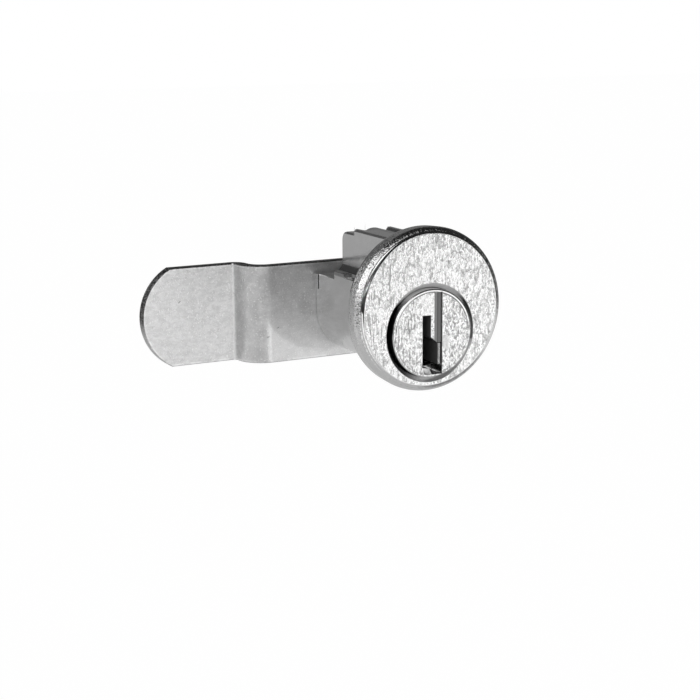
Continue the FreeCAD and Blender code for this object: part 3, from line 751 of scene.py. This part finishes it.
def brushed(shader, size, shift):
    # the face's short upright marks, 0 on bare metal and 1 in the deepest
    worms = shader.grain(size, (0.8, 1.0, 1.25), detail=4.0, rough=0.68, bend=0.7, shift=shift)
    fine = shader.grain(size * 0.42, (0.9, 1.0, 1.6), detail=1.0, shift=shift + 5.0)
    streaks = shader.grain(size * 0.5, (1.0, 1.0, 9.0), detail=2.0, shift=shift + 2.0)
    return (1.0 - worms.step(0.34, 0.53)) * 0.7 + (1.0 - fine.step(0.3, 0.55)) * 0.3, streaks


plating = dict(rough=0.1, cloudRough=0.08, faceRough=0.17, markRough=0.15)


def platedRoughness(cloud, mark, front):
    # smooth all over but for the satin face
    polish = plating["rough"] + (cloud - 0.5) * plating["cloudRough"]
    return polish * (1.0 - front) + (plating["faceRough"] + mark * plating["markRough"]) * front


castingLook = dict(
    tone=0.74, faceTone=0.98, markTone=0.42, markSize=0.56, markShift=0.0,
    streaks=(0.56, 0.64), streakCover=0.25, leftCover=0.5, leftMarks=[("x", -3.5, -8.5)],
    leftEdge=[("x", -4.0, -9.0)], leftShift=0.3, front=[("y", -2.97, -2.99), ("edge", 10.85, 10.72)],
    rim=[("out", 11.05, 11.3), ("y", -0.3, -0.6)],
    fleckSize=0.36, flecks=(0.36, 0.46), fleckCoat=(0.12, 0.75),
    fleckPlace=[("z", 0.5, 2.5), ("x", 2.0, -2.0)],
    darkLineWide=0.12, darkLineSwell=0.26, swell=[("z", 3.4, 4.2), ("z", 7.2, 6.2)],
    paintedDarkLine=[("edge", 10.8, 10.86), ("seamEdge", 10.92, 10.84), ("x", -1.0, -5.0), ("z", 1.4, 3.2),
          ("y", -1.0, -1.5)], darkLineTone=0.02,
    corner=[("z", 6.2, 6.4), ("z", 9.2, 7.8), ("x", 4.9, 5.2, 0.0), ("y", 0.0, 0.2)], flareShadeCoat=(0.24, 0.8),
    mouth=[("around", 7.15, 7.1), ("y", -2.2, -2.3), ("z", 4.0, 5.4)], mouthTopLightTone=0.8, mouthTopDull=0.75,
    speckHeight=0.12, fleckHeight=2.4, cloudHeight=0.4, markDepth=0.3,
)


def platedCasting():
    look = castingLook
    shader = Shader("platedCasting")
    x, y, z = shader.axes()
    places = dict(x=x, y=y, z=z, out=ring(x, z - housing["headRise"]), around=ring(x, z))
    places["edge"] = places["out"] + area(places, look["leftEdge"]) * look["leftShift"]
    cloud, speck, colour = mottle(shader, look["tone"])
    front = area(places, look["front"])
    mark, streaks = brushed(shader, look["markSize"], look["markShift"])
    cover = look["streakCover"] + area(places, look["leftMarks"]) * look["leftCover"]
    mark = (mark + streaks.step(*look["streaks"]) * cover).low(1.0) * front

    rim = area(places, look["rim"])
    fleck = shader.grain(look["fleckSize"], detail=3.0, rough=0.6, shift=7.0)
    bare = (1.0 - fleck.step(*look["flecks"])) * rim * area(places, look["fleckPlace"])
    colour = shader.coat(colour, bare, *look["fleckCoat"])
    # painted reflection: a black line on the left of the rim beside the face, wider higher up
    wide = area(places, look["swell"]) * look["darkLineSwell"] + look["darkLineWide"]
    places["seamEdge"] = places["edge"] - wide
    colour = shader.coat(colour, area(places, look["paintedDarkLine"]), look["darkLineTone"])
    # painted shade: darker grey in the flare at the tower's foot, on both sides
    colour = shader.coat(colour, area(places, look["corner"]), *look["flareShadeCoat"])
    # painted light: only the top of the mouth's bevel is made paler and dull, so it shows lighter than the
    # rest
    mouth = area(places, look["mouth"]) * (1.0 - front)
    colour = shader.coat(colour, mouth, look["mouthTopLightTone"])
    colour = shader.coat(colour, front, look["faceTone"])
    colour = shader.coat(colour, mark, look["markTone"])
    relief = (speck * look["speckHeight"] + fleck * rim * look["fleckHeight"] + cloud * look["cloudHeight"]
              - mark * look["markDepth"])
    return shader.metal(colour, platedRoughness(cloud, mark, front), relief, 1.0 - mouth * look["mouthTopDull"])


plugLook = dict(
    tone=0.68, faceTone=0.97, markTone=0.36, markSize=0.5, markShift=20.0, front=[("y", -3.45, -3.49)],
    streaks=(0.54, 0.64), streakCover=0.15, leftCover=0.6, leftMarks=[("x", -1.5, -3.5)],
    rightMore=0.25, rightMarks=[("x", 0.5, 3.0)],
    patch=[("x", 1.15, 0.95, -0.7), ("z", 1.5, 1.35, 4.1)], patchClear=0.5,
    wearAndSheen=dict(middle=(2.1, -1.3), fade=(0.45, 0.7), squash=0.55), wornClear=0.6, wearAndSheenCoat=(0.6, 0.6),
    upper=[("z", 0.5, 3.5)], brim=[("out", 5.8, 5.95)], turnedLine=[("out", 0.08, 0.03, 5.88)],
    groove=[("y", -3.47, -3.4), ("y", -2.95, -3.05), ("z", -1.5, -1.4), ("x", 0.3, 0.4)], grooveRough=0.1,
    grooveLine=[("x", 0.12, 0.04, 0.98)], lineTone=0.1,
    grooveRight=[("x", 0.95, 1.05)], grooveTones=(0.22, 0.15),
    ward=[("x", 0.3, 0.26, 1.1), ("z", -1.4, -1.6), ("z", -4.7, -4.6)], wardTone=0.34,
    gapShade=[("out", 6.28, 6.32), ("y", -3.44, -3.38), ("x", -0.5, -4.0), ("z", 5.5, 3.5)], gapShadeTone=0.06,
    deep=[("y", -3.47, -3.3), ("out", 6.1, 5.9)], foot=[("z", -4.5, -5.0)], keywayFloorShadeTone=0.015,
    dishFade=(0.74, 0.8), dish=[("y", -3.2, -3.25)], scoopShadedSide=[("x", -1.1, 0.0)], scoopLitAndShadedTones=(0.98, 0.35),
    dishRough=0.2,
    inside=[("x", 1.75, 1.68, 0.03), ("y", 13.7, 13.5), ("z", 2.8, 2.65)], aboveFoot=[("z", -4.9, -4.4)],
    insideTone=0.12,
    wall=[("out", 6.28, 6.32), ("y", -3.44, -3.38), ("z", 4.4, 5.6)], wallTone=0.7, wallDull=0.7,
    speckHeight=0.15, cloudHeight=0.2, markDepth=0.3,
)


def platedPlug():
    look = plugLook
    shader = Shader("platedPlug")
    x, y, z = shader.axes()
    places = dict(x=x, y=y, z=z, out=ring(x, z))
    cloud, speck, colour = mottle(shader, look["tone"])
    front, upper = area(places, look["front"]), area(places, look["upper"])
    mark, streaks = brushed(shader, look["markSize"], look["markShift"])
    cover = look["streakCover"] + area(places, look["leftMarks"]) * look["leftCover"]
    mark = mark * (1.0 + area(places, look["rightMarks"]) * look["rightMore"])
    mark = (mark + streaks.step(*look["streaks"]) * cover).low(1.0)
    wearAndSheen = spot(x, z, **look["wearAndSheen"])
    mark = mark * (1.0 - area(places, look["patch"]) * look["patchClear"]) * (1.0 - wearAndSheen * look["wornClear"])
    mark = mark * (1.0 - area(places, look["brim"]) * upper)
    turnedLine = area(places, look["turnedLine"])
    colour = shader.coat(colour, front, look["faceTone"])
    colour = shader.coat(colour, (mark + turnedLine * upper).low(1.0) * front, look["markTone"])
    colour = shader.coat(colour, wearAndSheen * front, *look["wearAndSheenCoat"])

    # the groove's floor is darker than the face, darkest on its right and along one line: partly bare milled
    # metal, partly painted shade in the recess
    groove = area(places, look["groove"])
    floor = shader.blend(area(places, look["grooveRight"]), *(grey(tone) for tone in look["grooveTones"]))
    floor = shader.coat(floor, area(places, look["grooveLine"]), look["lineTone"])
    colour = shader.blend(groove, colour, floor)
    colour = shader.coat(colour, front * area(places, look["ward"]), look["wardTone"])
    # painted shade: the flange's side nearly black on its left, below the top, for the shadow and dark
    # reflection in the gap
    colour = shader.coat(colour, area(places, look["gapShade"]), look["gapShadeTone"])
    # painted shade: the keyway's lowest part, inside the plug, nearly black
    deep = area(places, look["deep"]) * (1.0 - groove)
    colour = shader.coat(colour, deep * area(places, look["foot"]), look["keywayFloorShadeTone"])
    # painted light and shade: the scoop at the keyway's foot pale on its left and dark on its right
    dish = spot(x, z, (plug["scoop"][0], plug["scoop"][2]), look["dishFade"])
    scoopLightAndShade = shader.blend(area(places, look["scoopShadedSide"]), *(grey(tone) for tone in look["scoopLitAndShadedTones"]))
    colour = shader.blend(dish * area(places, look["dish"]), colour, scoopLightAndShade)
    inside = deep * area(places, look["inside"])
    colour = shader.coat(colour, inside * area(places, look["aboveFoot"]), look["insideTone"])
    # painted light: only the top of the flange's side is made pale and dull, so it shows lighter
    wall = area(places, look["wall"])
    colour = shader.coat(colour, wall, look["wallTone"])

    rough = platedRoughness(cloud, mark, front) + groove * look["grooveRough"] + dish * look["dishRough"]
    relief = speck * look["speckHeight"] + cloud * look["cloudHeight"] - mark * front * look["markDepth"]
    relief = (relief - turnedLine * front) * (1.0 - dish)
    return shader.metal(colour, rough, relief, 1.0 - inside.high(wall * look["wallDull"]))


sheetLook = dict(
    tone=0.88, shade=0.2, sparks=(0.62, 0.7), sparkCoat=(0.98, 0.8), sparkHeight=0.3,
    patches=(0.36, 0.62), patchTone=0.48, patchCover=0.5, patchLess=0.32, patchRight=[("x", -22.0, -16.0)],
    cut=[("inside", 0.16, 0.1)], cutCover=0.2, upperEdgeShadeMore=0.8, upperEdgeShade=[("z", -3.0, 0.5)], cutRough=0.1,
    cutEdgeAndShadeTones=(0.03, 0.2), rags=(0.42, 0.62),
    wearAndSheen=[("inside", 0.13, 0.18), ("inside", 0.42, 0.3)], sheenClouds=(0.4, 0.6), wearAndSheenCoat=(0.95, 0.9),
    dentCoat=(0.08, 0.8), dentCore=(0.6, 0.4), highlightDots=(0.36, 0.5), foldHighlightCover=0.5, foldHighlightTone=1.0, foldHighlightDull=0.9,
    foldHighlight=[("x", 0.16, 0.08, -18.28), ("y", 24.2, 24.4), ("y", 24.95, 24.85)],
    rough=0.38, cloudRough=0.1, speckHeight=0.1, cloudHeight=0.3,
    # place across, place up, lean in degrees, half length, half width
    dents=((-26.9, 2.3, 42, 0.26, 0.07), (-14.6, -3.4, 12, 0.2, 0.06), (-13.0, -2.1, 30, 0.2, 0.06)),
)


def dentsIn(look, x, z):
    longCore, wideCore = look["dentCore"]
    dents = 0.0
    for across, up, lean, half, width in look["dents"]:
        c, s = math.cos(math.radians(lean)), math.sin(math.radians(lean))
        places = dict(along=(x - across) * c + (z - up) * s, aside=(z - up) * c - (x - across) * s)
        limits = [("along", half, half * longCore, 0.0), ("aside", width, width * wideCore, 0.0)]
        dents = area(places, limits) + dents
    return dents


def platedSheet():
    look = sheetLook
    shader = Shader("platedSheet")
    x, y, z = shader.axes()
    # how far in from the blank's outline
    inside = (camArm["half"] - ring(x.high(0.0), z)).low(
        camArm["tipRadius"] - ring((x + camArm["tipCentre"]).low(0.0), z))
    places = dict(x=x, y=y, z=z, inside=inside)
    cloud, speck, colour = mottle(shader, look["tone"], look["shade"])
    patch = shader.grain(0.75, (1.3, 1.0, 0.8), detail=5.0, rough=0.65, bend=0.4, shift=14.0)
    cover = look["patchCover"] - area(places, look["patchRight"]) * look["patchLess"]
    colour = shader.coat(colour, (1.0 - patch.step(*look["patches"])) * cover, look["patchTone"])
    spark = shader.grain(0.28, detail=1.0, shift=9.0).step(*look["sparks"])
    colour = shader.coat(colour, spark, *look["sparkCoat"])

    # the blank's cut edge darkened: a ragged dull edge, with painted shade that makes its upper half much
    # darker
    cut = area(places, look["cut"]) * (look["cutCover"] + area(places, look["upperEdgeShade"]) * look["upperEdgeShadeMore"])
    # painted highlight: a broken bright line just inside the blank's outline
    wearAndSheen = area(places, look["wearAndSheen"]) * cloud.step(*look["sheenClouds"])
    colour = shader.coat(colour, wearAndSheen, *look["wearAndSheenCoat"])
    rag = shader.grain(0.25, (1.0, 2.5, 1.0), detail=3.0, shift=4.0)
    tornAndShadedEdge = shader.blend(rag.step(*look["rags"]), *(grey(tone) for tone in look["cutEdgeAndShadeTones"]))
    colour = shader.blend(cut, colour, tornAndShadedEdge)
    dent = dentsIn(look, x, z)
    colour = shader.coat(colour, dent.low(1.0), *look["dentCoat"])
    # painted highlight: a broken white, dull line along the cam's sharp fold
    highlightDots = shader.grain(0.42, detail=1.0, shift=17.0).step(*look["highlightDots"])
    foldHighlight = area(places, look["foldHighlight"]) * (look["foldHighlightCover"] + highlightDots * (1.0 - look["foldHighlightCover"]))
    colour = shader.coat(colour, foldHighlight, look["foldHighlightTone"])
    rough = look["rough"] + (cloud - 0.5) * look["cloudRough"] + cut * look["cutRough"]
    relief = speck * look["speckHeight"] + cloud * look["cloudHeight"] + spark * look["sparkHeight"]
    return shader.metal(colour, rough, relief - dent + cut * rag, 1.0 - foldHighlight * look["foldHighlightDull"])


def plainMetal(name, low, high, roughness, scratch=(1.0, 1.0, 1.0)):
    shader = Shader(name)
    cloud = shader.grain(1.2, detail=4.0, rough=0.6)
    speck = shader.grain(0.12, scratch, detail=2.0)
    colour = shader.blend(cloud.step(0.3, 0.7), low, high)
    rough = roughness + (cloud - 0.5) * 0.12 + speck * 0.06
    return shader.metal(colour, rough, speck * 0.15 + cloud * 0.2)


finishes = dict(
    casting=platedCasting(),
    plug=platedPlug(),
    sheet=platedSheet(),
    strip=plainMetal("platedStrip", grey(0.55), grey(0.62), 0.1),
    steel=plainMetal("zincSteel", grey(0.5), grey(0.62, -0.01), 0.2),
    brass=plainMetal("turnedBrass", (0.62, 0.42, 0.14, 1), (0.78, 0.56, 0.22, 1), 0.22, (1, 1, 0.1)),
    wire=plainMetal("springWire", grey(0.42), grey(0.52), 0.26),
)
print("finishes mixed")

buildHousing()
buildCover()
buildPlug()
buildCam()
buildStopWasher()
print("main pieces built")


# Shapes that repeat, grown by Geometry Nodes

class Growth:
    def __init__(self, name, sizes):
        self.tree = bpy.data.node_groups.new(name, "GeometryNodeTree")
        self.sizes = sizes
        self.sockets = {}
        for label, size in sizes.items():
            kind = "NodeSocketInt" if isinstance(size, int) else "NodeSocketFloat"
            socket = self.tree.interface.new_socket(label, in_out="INPUT", socket_type=kind)
            self.sockets[label] = socket.identifier
        self.tree.interface.new_socket("Geometry", in_out="OUTPUT", socket_type="NodeSocketGeometry")
        self.given = self.tree.nodes.new("NodeGroupInput").outputs

    def add(self, kind, feeds, settings=None):
        node = self.tree.nodes.new(kind)
        for key, setting in (settings or {}).items():
            setattr(node, key, setting)
        for key, value in feeds.items():
            if isinstance(value, bpy.types.NodeSocket):
                self.tree.links.new(value, node.inputs[key])
            else:
                node.inputs[key].default_value = value
        return node.outputs[0]

    def maths(self, operation, first, second):
        return self.add("ShaderNodeMath", {0: first, 1: second}, dict(operation=operation))

    def grow(self, geometry, material):
        # the finished shape as a plain mesh
        whole = self.add("GeometryNodeRealizeInstances", {"Geometry": geometry})
        whole = self.add("GeometryNodeSetMaterial", {"Geometry": whole, "Material": material})
        self.tree.links.new(whole, self.tree.nodes.new("NodeGroupOutput").inputs[0])
        thing = link(bpy.data.objects.new(self.tree.name, bpy.data.meshes.new(self.tree.name)))
        modifier = thing.modifiers.new("growth", "NODES")
        modifier.node_group = self.tree
        for label, size in self.sizes.items():
            modifier[self.sockets[label]] = size
        bake(thing)
        return thing


backTurn = (-math.pi / 2, 0.0, 0.0)  # from +Z to +Y

lockWasher = dict(name="lockWasher", body="plug", slot="washer_steel", finish="steel", edge=0.04,
                  teeth=8, rimMiddle=3.55, rimWidth=0.7, rimSteps=96, thick=0.42, toothLength=1.1,
                  toothWidth=1.15, toothMiddle=2.72, twist=8.0, middle=22.05)


def buildLockWasher():
    w = lockWasher
    growth = Growth("toothedWasher", {
        "Teeth": w["teeth"], "Rim Radius": w["rimMiddle"], "Rim Width": w["rimWidth"],
        "Thickness": w["thick"], "Tooth Length": w["toothLength"], "Tooth Width": w["toothWidth"],
        "Tooth Radius": w["toothMiddle"], "Twist": math.radians(w["twist"])})
    given = growth.given
    track = growth.add("GeometryNodeCurvePrimitiveCircle",
                       {"Resolution": w["rimSteps"], "Radius": given["Rim Radius"]})
    band = growth.add("GeometryNodeCurvePrimitiveQuadrilateral",
                      {"Width": given["Rim Width"], "Height": given["Thickness"]})
    rim = growth.add("GeometryNodeCurveToMesh", {"Curve": track, "Profile Curve": band})
    block = growth.add("ShaderNodeCombineXYZ", {0: given["Tooth Length"], 1: given["Tooth Width"],
                                                2: given["Thickness"]})
    tooth = growth.add("GeometryNodeMeshCube", {"Size": block})
    lean = growth.add("ShaderNodeCombineXYZ", {0: given["Twist"]})
    out = growth.add("ShaderNodeCombineXYZ", {0: given["Tooth Radius"]})
    tooth = growth.add("GeometryNodeTransform", {"Geometry": tooth, "Translation": out, "Rotation": lean})
    hub = growth.add("GeometryNodeMeshLine", {"Count": given["Teeth"], "Offset": (0.0, 0.0, 0.0)})
    share = growth.maths("DIVIDE", 2 * math.pi, given["Teeth"])
    turn = growth.maths("MULTIPLY", growth.add("GeometryNodeInputIndex", {}), share)
    turn = growth.add("ShaderNodeCombineXYZ", {2: turn})
    ringOfTeeth = growth.add("GeometryNodeInstanceOnPoints",
                             {"Points": hub, "Instance": tooth, "Rotation": turn})
    both = growth.add("GeometryNodeJoinGeometry", {"Geometry": ringOfTeeth})
    growth.tree.links.new(rim, both.node.inputs[0])
    both = growth.add("GeometryNodeTransform", {"Geometry": both, "Translation": (0.0, w["middle"], 0.0),
                                                "Rotation": backTurn})
    finish(growth.grow(both, finishes[w["finish"]]), w, "lock_washer")


def growThread(s):
    # one ridge wound along the screw's shank
    growth = Growth("screwThread", {"Turns": s["threadLength"] / s["pitch"], "Length": s["threadLength"],
                                    "Radius": s["core"] + s["ridgeLift"], "Ridge": s["ridge"]})
    given = growth.given
    helix = growth.add("GeometryNodeCurveSpiral", {
        "Resolution": s["turnSteps"], "Rotations": given["Turns"], "Start Radius": given["Radius"],
        "End Radius": given["Radius"], "Height": given["Length"]})
    shape = growth.add("GeometryNodeCurvePrimitiveCircle",
                       {"Resolution": s["ridgeSides"], "Radius": given["Ridge"]})
    ridge = growth.add("GeometryNodeCurveToMesh", {"Curve": helix, "Profile Curve": shape, "Fill Caps": True})
    ridge = growth.add("GeometryNodeTransform", {"Geometry": ridge, "Rotation": backTurn,
                                                 "Translation": (0.0, s["point"] + s["threadStart"], 0.0)})
    return growth.grow(ridge, finishes[s["finish"]])


buildScrew()
buildLockWasher()
print("screw and lock washer built")


# Hidden pieces keep their CAD solids

hidden = dict(key_pin_="brass", driver_pin_="brass", pin_spring_="wire")
for node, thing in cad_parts.items():
    for start, name in hidden.items():
        if node.startswith(start):
            thing.data.materials.clear()
            thing.data.materials.append(finishes[name])

bpy.context.scene.view_settings.view_transform = "Standard"
